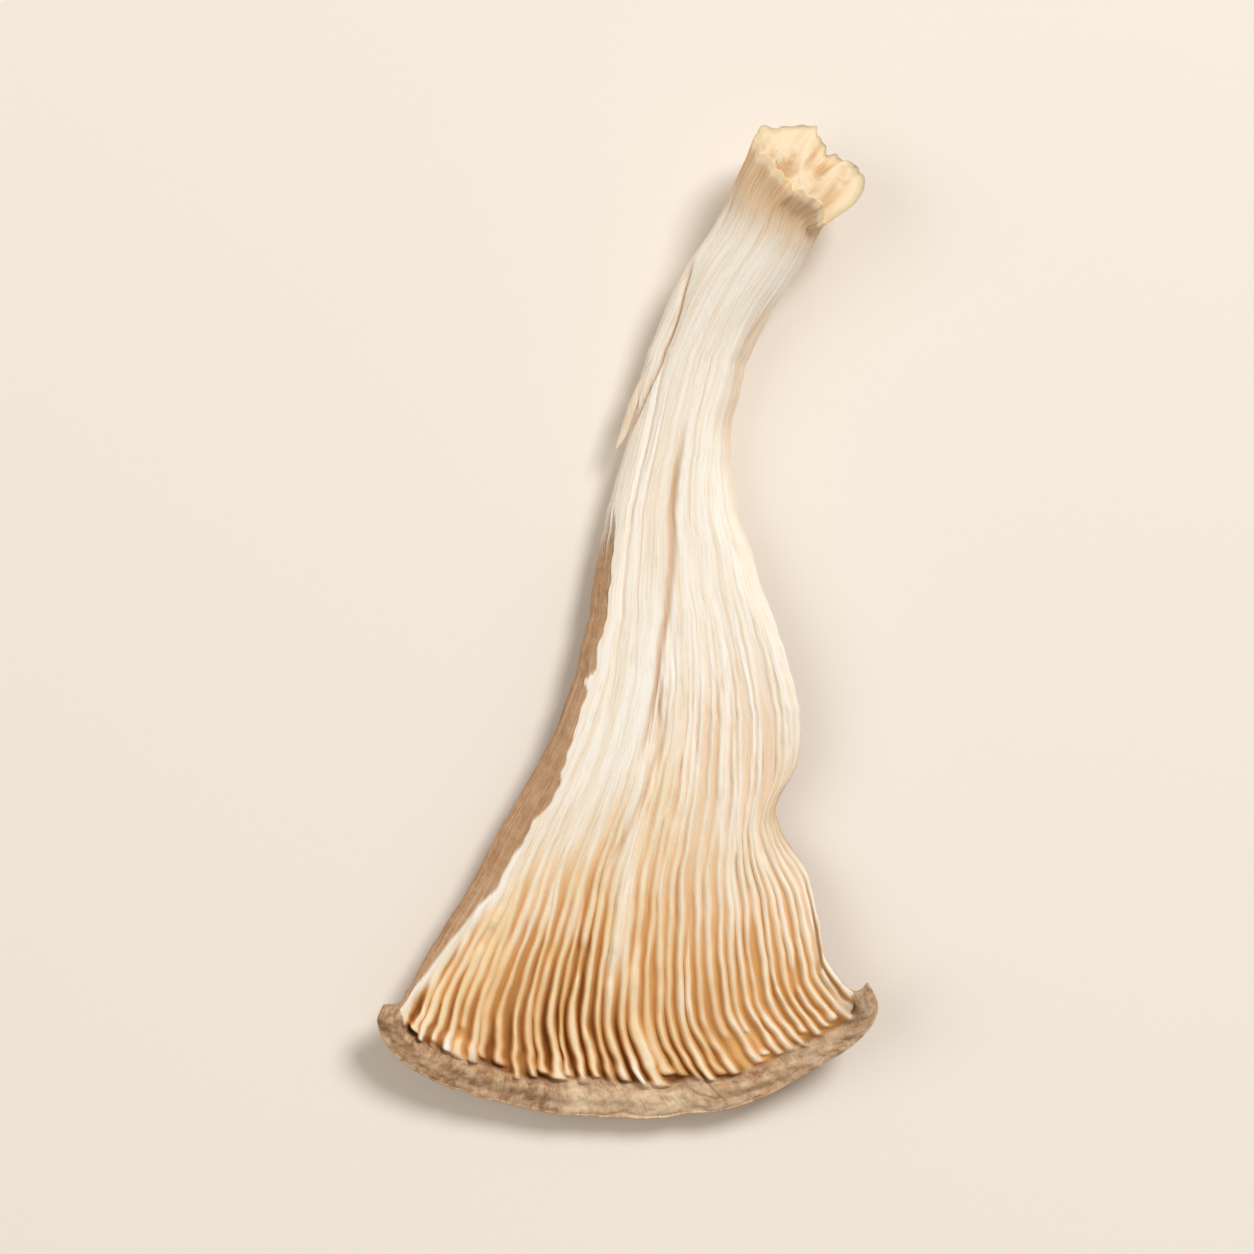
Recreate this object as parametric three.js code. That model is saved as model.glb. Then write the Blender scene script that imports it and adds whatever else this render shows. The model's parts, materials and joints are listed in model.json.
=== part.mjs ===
// A dried strip of oyster mushroom: one body of tissue, lying on its back with the gills up.
// X runs across the strip, Y from the gilled margin (-Y) up to the cut stem (+Y), Z is up.
// Two parameters cover it: u from the left silhouette (0) to the right one (1), and v from the
// cut stem (0) to the margin of the cap (1). Lengths are in millimetres.
import * as THREE from "three";
import { mergeVertices } from "three/addons/utils/BufferGeometryUtils.js";

// Silhouette seen from above, one row per station: v, left x, left y, right x, right y.
const OUTLINE = [
  [0.0, 8.19, 30.98, 14.28, 26.99],
  [0.028, 7.14, 28.9, 12.5, 25.45],
  [0.058, 6.1, 26.6, 11.4, 23.6],
  [0.103, 4.2, 23.63, 10.19, 21.53],
  [0.162, 2.31, 20.16, 8.51, 18.59],
  [0.22, 1.01, 16.28, 7.31, 15.65],
  [0.293, -0.15, 11.45, 6.59, 11.45],
  [0.356, -1.3, 7.46, 7.06, 7.67],
  [0.428, -2.23, 3.05, 8.4, 3.05],
  [0.509, -3.15, -2.0, 10.19, -2.0],
  [0.588, -4.83, -7.04, 11.15, -6.83],
  [0.676, -7.46, -11.87, 11.35, -12.08],
  [0.755, -10.29, -16.91, 11.95, -16.91],
  [0.826, -13.1, -21.5, 12.5, -20.8],
  [0.9, -14.4, -23.9, 14.2, -23.2],
  [1.0, -15.6, -24.2, 15.2, -22.6],
];

// A tear in the right edge, narrowing the strip above the cap. It presses in from u = reach.
const NOTCH = { at: 0.676, halfWidth: 0.045, depth: 1.85, reach: 0.68 };

// Outer edge of the rolled margin, from the left tip to the right tip: x, y.
const MARGIN = [
  [-15.6, -24.2],
  [-16.0, -25.4],
  [-15.2, -27.2],
  [-13.2, -28.8],
  [-8.2, -30.7],
  [-0.4, -31.8],
  [6.7, -31.0],
  [12.2, -28.4],
  [15.1, -26.0],
  [15.9, -24.2],
  [15.2, -22.6],
];
const MARGIN_BOW = { from: 0.45, power: 1.6 };

// Heights along the strip: v, middle surface, flesh above it, flesh below it.
const HEIGHTS = [
  [0.0, 6.3, 1.9, 2.2],
  [0.06, 4.9, 2.1, 2.3],
  [0.14, 3.4, 2.1, 2.2],
  [0.22, 2.35, 2.1, 2.1],
  [0.3, 2.0, 2.1, 2.1],
  [0.4, 2.25, 1.9, 1.9],
  [0.5, 2.75, 1.6, 1.6],
  [0.62, 2.75, 1.35, 1.4],
  [0.74, 1.85, 1.25, 1.35],
  [0.86, 1.15, 1.2, 1.3],
  [0.94, 1.5, 1.25, 1.3],
  [1.0, 2.1, 1.2, 1.3],
];

// Lift of the left side, the right side, and both silhouettes' rounding widths on the gill side.
const SIDES = [
  [0.0, 0.0, 0.0, 2.4, 2.4],
  [0.22, 0.0, 0.0, 2.7, 2.6],
  [0.36, 0.0, 0.1, 2.2, 2.2],
  [0.5, -0.2, 0.3, 1.1, 1.2],
  [0.62, 0.0, -0.5, 1.7, 0.9],
  [0.7, 0.4, -0.6, 1.9, 0.9],
  [0.8, 1.4, 1.4, 1.2, 0.8],
  [0.9, 2.4, 3.2, 0.9, 0.8],
  [1.0, 2.4, 4.2, 0.9, 0.8],
];
const BACK_ROUNDING = 0.46; // of the strip's width, on each side of the back

// The cut slants: the front rim stands back from the silhouette and the back rim reaches past it.
const STEM_CUT = {
  towards: [0.65, 0.76], // seen from above
  front: 1.2,
  back: 2.0,
  fades: 0.09,
  flare: 0.3,
  flareFades: 0.045,
  crinkles: 3,
  dent: 0.6,
};

// A furrow down the front of the neck: where it starts and ends in v, and its path as v, u.
const GROOVE = {
  depth: 0.4,
  halfWidth: 0.35,
  start: [0.24, 0.34],
  end: [0.56, 0.64],
  path: [
    [0.24, 0.54],
    [0.42, 0.465],
    [0.5, 0.39],
    [0.62, 0.36],
  ],
};

// The gills run up the neck on the right, and stop at the cap on the left. They lean to the left
// in the middle of the cap and spread evenly at the margin.
const GILLS = {
  count: 30,
  depth: 0.75,
  leftStart: 0.67,
  rightStart: 0.5,
  sides: [0.25, 0.6],
  growth: 0.2,
  edges: [0.06, 0.95],
  lean: 0.1,
  leanSkew: 1.2,
  leanStart: [0.05, 0.5],
  leanEnd: [0.7, 1],
};

// The rolled margin: the gills stop just before it.
const LIP = { from: 0.895, thickness: 0.25, gillGap: 0.03, backRounding: 1.6 };
const TABLE_SINK = 0.2; // how much of the rounded back is pressed flat where the strip lies on it

// The mesh: rows over the gills and over the lip, and columns over each side edge and the gills.
const GILL_ROWS = 30;
const LIP_ROWS = 8;
const ROWS = GILL_ROWS + LIP_ROWS;
const EDGE_SHARE = 0.06;
const EDGE_COLUMNS = 4;
const GILL_COLUMNS = 2 * GILLS.count; // a crest and a valley each
const COLUMNS = GILL_COLUMNS + 2 * EDGE_COLUMNS;
const BACK_COLUMNS = COLUMNS / 2;

const CREAM = 0xe9d3ae;

const clamp = THREE.MathUtils.clamp;
const smooth = THREE.MathUtils.smoothstep;

// A smooth curve through rows of [t, value, value, ...]: cubic pieces with finite-difference slopes.
function curveThrough(rows) {
  const slope = rows.map((_, i) => {
    const a = rows[Math.max(i - 1, 0)];
    const b = rows[Math.min(i + 1, rows.length - 1)];
    return a.map((value, k) => (b[k] - value) / (b[0] - a[0]));
  });
  return (t) => {
    const i = clamp(rows.findLastIndex((row) => row[0] <= t), 0, rows.length - 2);
    const span = rows[i + 1][0] - rows[i][0];
    const s = (t - rows[i][0]) / span;
    const blend = smooth(s, 0, 1);
    return rows[i].slice(1).map((value, k) => {
      const levels = value + (rows[i + 1][k + 1] - value) * blend;
      const slopes = slope[i][k + 1] * s * (1 - s) ** 2 - slope[i + 1][k + 1] * s ** 2 * (1 - s);
      return levels + span * slopes;
    });
  };
}

const outlineAt = curveThrough(OUTLINE);
const heightsAt = curveThrough(HEIGHTS);
const sidesAt = curveThrough(SIDES);
const grooveAt = curveThrough(GROOVE.path);
const margin = new THREE.SplineCurve(MARGIN.map(([x, y]) => new THREE.Vector2(x, y)));

// Seen from above: the chord between the silhouettes, bowed more and more towards the margin's edge.
function plan(u, v) {
  const [leftX, leftY, rightX, rightY] = outlineAt(v);
  const edge = margin.getPointAt(u);
  const bow = clamp((v - MARGIN_BOW.from) / (1 - MARGIN_BOW.from), 0, 1) ** MARGIN_BOW.power;
  const end = (a, b) => a + (b - a) * u;
  const first = MARGIN[0];
  const last = MARGIN[MARGIN.length - 1];
  const intoNotch = Math.exp(-(((v - NOTCH.at) / NOTCH.halfWidth) ** 2)) * smooth(u, NOTCH.reach, 1);
  return {
    x: end(leftX, rightX) + bow * (edge.x - end(first[0], last[0])) - NOTCH.depth * intoNotch,
    y: end(leftY, rightY) + bow * (edge.y - end(first[1], last[1])),
    width: Math.hypot(rightX - leftX, rightY - leftY),
  };
}

// How far a rounded edge has risen at a distance from the silhouette.
function rounding(distance, width) {
  return Math.sqrt(1 - (1 - clamp(distance / width, 0, 1)) ** 2);
}

// The place u of the gill line g, which is its place at the margin.
function acrossAt(g, v) {
  const lean = GILLS.lean * Math.sin(Math.PI * g ** GILLS.leanSkew);
  return g - lean * smooth(v, ...GILLS.leanStart) * (1 - smooth(v, ...GILLS.leanEnd));
}

function gillDepth(g, v) {
  const start = THREE.MathUtils.lerp(GILLS.leftStart, GILLS.rightStart, smooth(g, ...GILLS.sides));
  const inside = smooth(g, 0, GILLS.edges[0]) * (1 - smooth(g, GILLS.edges[1], 1));
  const beforeLip = 1 - smooth(v, LIP.from - LIP.gillGap, LIP.from);
  return GILLS.depth * inside * smooth(v, start, start + GILLS.growth) * beforeLip;
}

function grooveDepth(u, v, width) {
  const [grooveU] = grooveAt(v);
  const present = smooth(v, ...GROOVE.start) * (1 - smooth(v, ...GROOVE.end));
  const away = ((u - grooveU) * width) / GROOVE.halfWidth;
  return GROOVE.depth * present * Math.exp(-(away ** 2));
}

function middleHeight(u, v) {
  const [middle] = heightsAt(v);
  const [left, right] = sidesAt(v);
  const side = 2 * u - 1;
  return middle + side ** 2 * (side < 0 ? left : right);
}

// Moves a point near the cut end along the stem, by reach millimetres at the cut itself.
function slantCut(point, reach, v) {
  const [towardsX, towardsY] = STEM_CUT.towards;
  const shift = reach * (1 - smooth(v, 0, STEM_CUT.fades));
  return new THREE.Vector3(point.x + towardsX * shift, point.y + towardsY * shift, point.z);
}

// The dried rim of the cut flares outwards in a few crinkles.
function flareAt(u, v) {
  const crinkle = 1 + 0.7 * Math.cos(2 * Math.PI * STEM_CUT.crinkles * u);
  return STEM_CUT.flare * crinkle * (1 - smooth(v, 0, STEM_CUT.flareFades));
}

function frontPoint(u, g, v, valley) {
  const { x, y, width } = plan(u, v);
  const [, above] = heightsAt(v);
  const [, , leftRound, rightRound] = sidesAt(v);
  const lipRound = rounding((1 - v) / (1 - LIP.from), 1);
  const full = rounding(u * width, leftRound) * rounding((1 - u) * width, rightRound) * lipRound;
  const lip = LIP.thickness * smooth(v, LIP.from - LIP.gillGap, LIP.from);
  const cuts = grooveDepth(u, v, width) + (valley ? gillDepth(g, v) : 0);
  const z = middleHeight(u, v) + full * (above + lip + flareAt(u, v)) - cuts;
  return slantCut({ x, y, z }, -STEM_CUT.front * full, v);
}

function backPoint(u, v) {
  const { x, y, width } = plan(u, v);
  const [, , below] = heightsAt(v);
  const round = BACK_ROUNDING * width;
  const full = rounding(u * width, round) * rounding((1 - u) * width, round);
  const lipRound = rounding((1 - v) / (1 - LIP.from), LIP.backRounding);
  const z = middleHeight(u, v) - (below + flareAt(1 - u, v)) * full * lipRound;
  return slantCut({ x, y, z }, STEM_CUT.back * full, v);
}

// Column positions: a few along each rounded edge, then a crest and a valley for each gill.
function columnPositions() {
  const edge = [];
  for (let i = 0; i < EDGE_COLUMNS; i++) {
    edge.push(EDGE_SHARE * (1 - Math.cos((Math.PI / 2) * (i / EDGE_COLUMNS))));
  }
  const gills = [];
  for (let i = 0; i <= GILL_COLUMNS; i++) {
    gills.push(EDGE_SHARE + (1 - 2 * EDGE_SHARE) * (i / GILL_COLUMNS));
  }
  return [...edge, ...gills, ...edge.map((g) => 1 - g).reverse()];
}

// Rows are even as far as the lip, then close up as it rounds over.
function rowPosition(j) {
  if (j <= GILL_ROWS) return (LIP.from * j) / GILL_ROWS;
  const overLip = (j - GILL_ROWS) / LIP_ROWS;
  return LIP.from + (1 - LIP.from) * Math.sin((Math.PI / 2) * overLip);
}

// Corner points of the front and the back, row by row. They share the silhouettes and the margin.
function buildRows(points) {
  const add = (point) => points.push(point) - 1;
  const positions = columnPositions();
  const front = [];
  const back = [];
  for (let j = 0; j <= ROWS; j++) {
    const v = rowPosition(j);
    const row = positions.map((g, i) => {
      const valley = (i - EDGE_COLUMNS) % 2 === 0;
      return add(frontPoint(acrossAt(g, v), g, v, valley));
    });
    const everySecond = row.filter((_, i) => i % 2 === 0);
    const backRow = everySecond.map((shared, k) => {
      const onEdge = k === 0 || k === BACK_COLUMNS || j === ROWS;
      return onEdge ? shared : add(backPoint(acrossAt(positions[2 * k], v), v));
    });
    front.push(row);
    back.push(backRow);
  }
  return { front, back };
}

// Two triangles for each cell between row after row of points.
function skin(rows) {
  const triangles = [];
  for (let j = 0; j + 1 < rows.length; j++) {
    for (let i = 0; i + 1 < rows[j].length; i++) {
      triangles.push([rows[j][i], rows[j + 1][i], rows[j + 1][i + 1]]);
      triangles.push([rows[j][i], rows[j + 1][i + 1], rows[j][i + 1]]);
    }
  }
  return triangles;
}

// The last band of the back meets the margin, which has twice as many points.
function marginBand(last, rim) {
  const triangles = [];
  for (let k = 0; k < BACK_COLUMNS; k++) {
    triangles.push([last[k], rim[2 * k + 1], rim[2 * k]]);
    triangles.push([last[k], last[k + 1], rim[2 * k + 1]]);
    triangles.push([last[k + 1], rim[2 * k + 2], rim[2 * k + 1]]);
  }
  return triangles;
}

// The cut end of the stem: a shallow dent inside its rim.
function cutFace(points, frontRim, backRim) {
  const loop = [...frontRim, ...backRim.slice(1, -1).reverse()];
  const total = loop.reduce((sum, i) => sum.add(points[i]), new THREE.Vector3());
  const across = points[frontRim[0]].clone().sub(points[frontRim[COLUMNS]]);
  const down = points[backRim[BACK_COLUMNS / 2]].clone().sub(points[frontRim[COLUMNS / 2]]);
  const inward = across.cross(down).normalize();
  const middle = points.push(total.divideScalar(loop.length).addScaledVector(inward, STEM_CUT.dent)) - 1;
  return loop.map((point, i) => [point, loop[(i + 1) % loop.length], middle]);
}

function buildSolid() {
  const points = [];
  const { front, back } = buildRows(points);
  const triangles = [
    ...skin(front),
    ...skin(back.slice(0, -1)).map((triangle) => triangle.reverse()),
    ...marginBand(back[ROWS - 1], front[ROWS]),
    ...cutFace(points, front[0], back[0]),
  ];
  const table = Math.min(...points.map((point) => point.z)) + TABLE_SINK;
  for (const point of points) point.z = Math.max(point.z - table, 0);

  const geometry = new THREE.BufferGeometry().setFromPoints(points).setIndex(triangles.flat());
  geometry.computeBoundingBox();
  const centre = geometry.boundingBox.getCenter(new THREE.Vector3());
  geometry.translate(-centre.x, -centre.y, 0);
  return mergeVertices(geometry);
}

const flesh = new THREE.MeshStandardMaterial({ color: CREAM, roughness: 0.85, metalness: 0 });
const strip = new THREE.Mesh(buildSolid(), flesh);
strip.name = "mushroom_strip";

const object = new THREE.Group();
object.name = "dried_oyster_mushroom_strip";
object.add(strip);

export default object;
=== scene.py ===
"""A dried strip of oyster mushroom, lying on its back with the gills up.

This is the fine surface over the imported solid.
"""

import json
import math

import bpy
import numpy as np
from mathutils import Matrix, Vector

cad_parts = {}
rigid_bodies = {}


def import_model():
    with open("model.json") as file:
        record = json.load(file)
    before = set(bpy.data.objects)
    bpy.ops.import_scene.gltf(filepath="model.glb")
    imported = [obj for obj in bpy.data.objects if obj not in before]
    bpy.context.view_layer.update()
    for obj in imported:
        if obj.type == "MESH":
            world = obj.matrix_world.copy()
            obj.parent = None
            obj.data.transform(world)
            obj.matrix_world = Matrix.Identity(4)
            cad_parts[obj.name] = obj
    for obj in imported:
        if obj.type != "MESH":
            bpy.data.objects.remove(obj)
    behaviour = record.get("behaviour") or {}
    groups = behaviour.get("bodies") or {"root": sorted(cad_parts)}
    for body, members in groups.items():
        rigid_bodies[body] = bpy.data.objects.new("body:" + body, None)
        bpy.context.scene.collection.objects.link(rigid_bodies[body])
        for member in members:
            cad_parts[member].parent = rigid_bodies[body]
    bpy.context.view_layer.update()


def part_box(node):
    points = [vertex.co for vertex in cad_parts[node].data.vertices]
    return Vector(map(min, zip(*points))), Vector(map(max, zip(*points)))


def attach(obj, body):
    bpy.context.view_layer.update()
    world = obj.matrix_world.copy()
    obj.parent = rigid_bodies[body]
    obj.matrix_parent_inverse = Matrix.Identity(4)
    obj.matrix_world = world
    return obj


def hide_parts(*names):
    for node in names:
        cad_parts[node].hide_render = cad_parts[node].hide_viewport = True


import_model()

MM = 0.001
NODE = "mushroom_strip"
SEED = 11

# --------------------------------------------------------------------------------------------------
# Driving dimensions of the solid, in millimetres. u runs from the left silhouette (0) to the
# right one (1), and v from the cut end of the stem (0) to the margin of the cap (1). g is a gill
# line's place u at the margin.

# v, left x, left y, right x, right y
OUTLINE = [
    (0.0, 8.19, 30.98, 14.28, 26.99),
    (0.028, 7.14, 28.9, 12.5, 25.45),
    (0.058, 6.1, 26.6, 11.4, 23.6),
    (0.103, 4.2, 23.63, 10.19, 21.53),
    (0.162, 2.31, 20.16, 8.51, 18.59),
    (0.22, 1.01, 16.28, 7.31, 15.65),
    (0.293, -0.15, 11.45, 6.59, 11.45),
    (0.356, -1.3, 7.46, 7.06, 7.67),
    (0.428, -2.23, 3.05, 8.4, 3.05),
    (0.509, -3.15, -2.0, 10.19, -2.0),
    (0.588, -4.83, -7.04, 11.15, -6.83),
    (0.676, -7.46, -11.87, 11.35, -12.08),
    (0.755, -10.29, -16.91, 11.95, -16.91),
    (0.826, -13.1, -21.5, 12.5, -20.8),
    (0.9, -14.4, -23.9, 14.2, -23.2),
    (1.0, -15.6, -24.2, 15.2, -22.6),
]
# A notch in the right edge: its v, its half width in v, its depth, and the u where it starts
NOTCH_AT = 0.676
NOTCH_HALF_WIDTH = 0.045
NOTCH_DEPTH = 1.85
NOTCH_REACH = 0.68
# x, y of the margin's outer edge, from the left tip to the right tip
MARGIN = [
    (-15.6, -24.2),
    (-16.0, -25.4),
    (-15.2, -27.2),
    (-13.2, -28.8),
    (-8.2, -30.7),
    (-0.4, -31.8),
    (6.7, -31.0),
    (12.2, -28.4),
    (15.1, -26.0),
    (15.9, -24.2),
    (15.2, -22.6),
]
MARGIN_BOW_FROM = 0.45
MARGIN_BOW_POWER = 1.6
# v, middle surface, flesh above it, flesh below it
HEIGHTS = [
    (0.0, 6.3, 1.9, 2.2),
    (0.06, 4.9, 2.1, 2.3),
    (0.14, 3.4, 2.1, 2.2),
    (0.22, 2.35, 2.1, 2.1),
    (0.3, 2.0, 2.1, 2.1),
    (0.4, 2.25, 1.9, 1.9),
    (0.5, 2.75, 1.6, 1.6),
    (0.62, 2.75, 1.35, 1.4),
    (0.74, 1.85, 1.25, 1.35),
    (0.86, 1.15, 1.2, 1.3),
    (0.94, 1.5, 1.25, 1.3),
    (1.0, 2.1, 1.2, 1.3),
]
# v, lift of the left side, of the right side, rounding width of the left edge, of the right edge
SIDES = [
    (0.0, 0.0, 0.0, 2.4, 2.4),
    (0.22, 0.0, 0.0, 2.7, 2.6),
    (0.36, 0.0, 0.1, 2.2, 2.2),
    (0.5, -0.2, 0.3, 1.1, 1.2),
    (0.62, 0.0, -0.5, 1.7, 0.9),
    (0.7, 0.4, -0.6, 1.9, 0.9),
    (0.8, 1.4, 1.4, 1.2, 0.8),
    (0.9, 2.4, 3.2, 0.9, 0.8),
    (1.0, 2.4, 4.2, 0.9, 0.8),
]
BACK_ROUNDING = 0.46
CUT_TOWARDS = (0.65, 0.76)
CUT_FRONT = 1.2
CUT_BACK = 2.0
CUT_FADES = 0.09
CUT_DENT = 0.6
GROOVE_PATH = [(0.24, 0.54), (0.42, 0.465), (0.5, 0.39), (0.62, 0.36)]
# How far in u the gill lines lean to the left above the margin, and which of them lean most
GILL_LEAN = 0.1
GILL_LEAN_SKEW = 1.2
LIP_FROM = 0.895
LIP_THICKNESS = 0.25
LIP_GILL_GAP = 0.03
TABLE_SINK = 0.2

# The loose strand at the left of the stem: x, y, z along it
LOOSE_STRAND = [(1.9, 17.6, 3.6), (0.5, 14.6, 3.2), (-0.25, 12.4, 2.9), (-0.75, 11.3, 2.9)]
LOOSE_STRAND_RADIUS = 0.28

# The fine mesh: columns over each side edge and over the gills, and rows along the strip.
EDGE_SHARE = 0.06
EDGE_COLUMNS = 18
GILL_COLUMNS = 228
COLUMNS = GILL_COLUMNS + 2 * EDGE_COLUMNS
BACK_STEP = 3  # the back has one column for every three of the front
STEM_ROWS = 74
GILL_ROWS = 120
LIP_ROWS = 48
ROWS = STEM_ROWS + GILL_ROWS + LIP_ROWS
STEM_TO = 0.44
CUT_RINGS = 9

# Gills
GILL_PITCH = (0.0285, 0.0188)  # in g, over the left and middle, and at the right tip
GILL_DEPTH = 1.0  # for each millimetre of pitch
FORK_SHARE = 0.16
SHORT_SHARE = 0.1
# The tooth of pale tissue that reaches over the flank: its v, its half width in v, and its share
FLANK_TOOTH_AT = 0.532
FLANK_TOOTH_HALF_WIDTH = 0.007
FLANK_TOOTH_SHARE = 0.55
# v, width of the brown flank that shows past the torn left edge
FLANK = [
    (0.34, 0.3),
    (0.4, 0.9),
    (0.5, 1.15),
    (0.59, 1.5),
    (0.64, 2.1),
    (0.7, 2.0),
    (0.755, 1.6),
    (0.8, 1.2),
    (0.86, 0.8),
    (1.0, 0.7),
]


# --------------------------------------------------------------------------------------------------
# Curves and noise


def smooth(x, low, high):
    t = np.clip((np.asarray(x, float) - low) / (high - low), 0.0, 1.0)
    return t * t * (3 - 2 * t)


def curve_through(rows):
    """A smooth function through rows of (t, value, ...), with finite-difference slopes."""
    table = np.array(rows, float)
    t, values = table[:, 0], table[:, 1:]
    low, high = np.maximum(np.arange(len(t)) - 1, 0), np.minimum(np.arange(len(t)) + 1, len(t) - 1)
    slope = (values[high] - values[low]) / (t[high] - t[low])[:, None]

    def at(x):
        x = np.asarray(x, float)
        i = np.clip(np.searchsorted(t, x, side="right") - 1, 0, len(t) - 2)
        span = (t[i + 1] - t[i])[..., None]
        s = (x - t[i])[..., None] / span
        levels = values[i] + (values[i + 1] - values[i]) * s * s * (3 - 2 * s)
        return levels + span * (slope[i] * s * (1 - s) ** 2 - slope[i + 1] * s**2 * (1 - s))

    return at


def curve_by_length(points, samples=400):
    """A Catmull-Rom curve through the points, as a function of the share of its length."""
    p = np.array(points, float)
    padded = np.vstack([p[0], p, p[-1]])
    t = np.linspace(0, len(p) - 1, samples)
    i = np.minimum(t.astype(int), len(p) - 2)
    s = (t - i)[:, None]
    a, b, c, d = padded[i], padded[i + 1], padded[i + 2], padded[i + 3]
    path = 0.5 * (2 * b + (c - a) * s + (2 * a - 5 * b + 4 * c - d) * s**2 + (3 * b - a - 3 * c + d) * s**3)
    length = np.concatenate([[0], np.cumsum(np.linalg.norm(np.diff(path, axis=0), axis=1))])
    length /= length[-1]
    return lambda u: np.stack([np.interp(u, length, path[:, k]) for k in range(2)], axis=-1)


def hashed(ix, iy, seed):
    """A fixed pseudo-random number from -1 to 1 for each lattice point."""
    h = (ix.astype(np.int64) * 374761393 + iy.astype(np.int64) * 668265263 + seed * 974634777) & 0xFFFFFFFF
    h = ((h ^ (h >> 13)) * 1274126177) & 0xFFFFFFFF
    return (h ^ (h >> 16)) / 2**31 - 1


def noise(x, y, seed=0):
    """Smooth noise from -1 to 1 with a lattice step of 1."""
    x, y = np.broadcast_arrays(np.asarray(x, float), np.asarray(y, float))
    ix, iy = np.floor(x).astype(int), np.floor(y).astype(int)
    fx, fy = smooth(x - ix, 0, 1), smooth(y - iy, 0, 1)
    low = hashed(ix, iy, seed) * (1 - fx) + hashed(ix + 1, iy, seed) * fx
    high = hashed(ix, iy + 1, seed) * (1 - fx) + hashed(ix + 1, iy + 1, seed) * fx
    return low * (1 - fy) + high * fy


def rounding(distance, width):
    """How far a rounded edge has risen at a distance from the silhouette."""
    return np.sqrt(1 - (1 - np.clip(distance / width, 0, 1)) ** 2)


outline_at = curve_through(OUTLINE)
heights_at = curve_through(HEIGHTS)
sides_at = curve_through(SIDES)
groove_at = curve_through(GROOVE_PATH)
flank_at = curve_through(FLANK)
margin_at = curve_by_length(MARGIN)


# --------------------------------------------------------------------------------------------------
# The strip's surfaces. g and v are grids of shape (rows, columns).


def across_at(g, v):
    lean = GILL_LEAN * np.sin(np.pi * g**GILL_LEAN_SKEW)
    return g - lean * smooth(v, 0.05, 0.5) * (1 - smooth(v, 0.7, 1))


def plan(u, v):
    """x, y and the width of the row, seen from above, with the ragged edges of dried tissue."""
    left_x, left_y, right_x, right_y = np.moveaxis(outline_at(v), -1, 0)
    ragged = smooth(v, 0.0, 0.05) * (1 - 0.6 * smooth(v, 0.9, 1.0))
    left_x = left_x + ragged * (0.14 * noise(v * 34, 0.5, 3) + 0.07 * noise(v * 90, 0.5, 4))
    right_x = right_x + ragged * (0.16 * noise(v * 30, 0.5, 5) + 0.08 * noise(v * 80, 0.5, 6))
    edge = margin_at(u)
    wavy = smooth(u, 0, 0.06) * (1 - smooth(u, 0.94, 1))
    edge_y = edge[..., 1] + wavy * (0.16 * noise(u * 17, 0.5, 7) + 0.06 * noise(u * 60, 0.5, 8))
    bow = np.clip((v - MARGIN_BOW_FROM) / (1 - MARGIN_BOW_FROM), 0, 1) ** MARGIN_BOW_POWER
    first, last = MARGIN[0], MARGIN[-1]
    x = left_x + (right_x - left_x) * u + bow * (edge[..., 0] - first[0] - (last[0] - first[0]) * u)
    y = left_y + (right_y - left_y) * u + bow * (edge_y - first[1] - (last[1] - first[1]) * u)
    x = x - NOTCH_DEPTH * np.exp(-(((v - NOTCH_AT) / NOTCH_HALF_WIDTH) ** 2)) * smooth(u, NOTCH_REACH, 1)
    return x, y, np.hypot(right_x - left_x, right_y - left_y)


def middle_height(u, v):
    middle = heights_at(v)[..., 0]
    left, right = sides_at(v)[..., 0], sides_at(v)[..., 1]
    side = 2 * u - 1
    return middle + side**2 * np.where(side < 0, left, right)


def slant_cut(x, y, reach, v):
    shift = reach * (1 - smooth(v, 0, CUT_FADES))
    return x + CUT_TOWARDS[0] * shift, y + CUT_TOWARDS[1] * shift


def lip_line(g):
    """The v at which the gills end against the rolled margin: an uneven, scalloped line."""
    return LIP_FROM + 0.011 * noise(g * 11, 0.5, 21) + 0.009 * noise(g * 31, 0.5, 22)


def rim_reach(angle, v):
    """How far the ragged rim stands out along the stem, beyond the plain slanted cut."""
    a, b = np.cos(2 * np.pi * angle), np.sin(2 * np.pi * angle)
    ragged = 0.55 * noise(a * 2.1 + 4, b * 2.1 + 4, 35) + 0.3 * noise(a * 5.2 + 4, b * 5.2 + 4, 36)
    knob = 0.9 * np.exp(-(((angle - 0.84) / 0.06) ** 2))
    hanging = 1.5 * np.exp(-(((angle - 0.47) / 0.035) ** 2))
    return (1 - smooth(v, 0, 0.045)) * (ragged + knob - hanging)


def rim_flare(angle, v):
    """How far the crinkled rim of the cut stands out; angle goes once round the stem from 0 to 1."""
    a, b = np.cos(2 * np.pi * angle), np.sin(2 * np.pi * angle)
    broad = noise(a * 1.7 + 9, b * 1.7 + 9, 31)
    sharp = 1 - 2.2 * np.abs(noise(a * 3.1 + 5, b * 3.1 + 5, 32))
    rolled = 1 - smooth(v, 0, 0.026)
    knob = 0.75 * np.exp(-(((angle - 0.33) / 0.05) ** 2)) + 0.55 * np.exp(-(((angle - 0.93) / 0.06) ** 2))
    return rolled * (0.22 + 0.38 * broad + 0.28 * sharp + knob)


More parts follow.
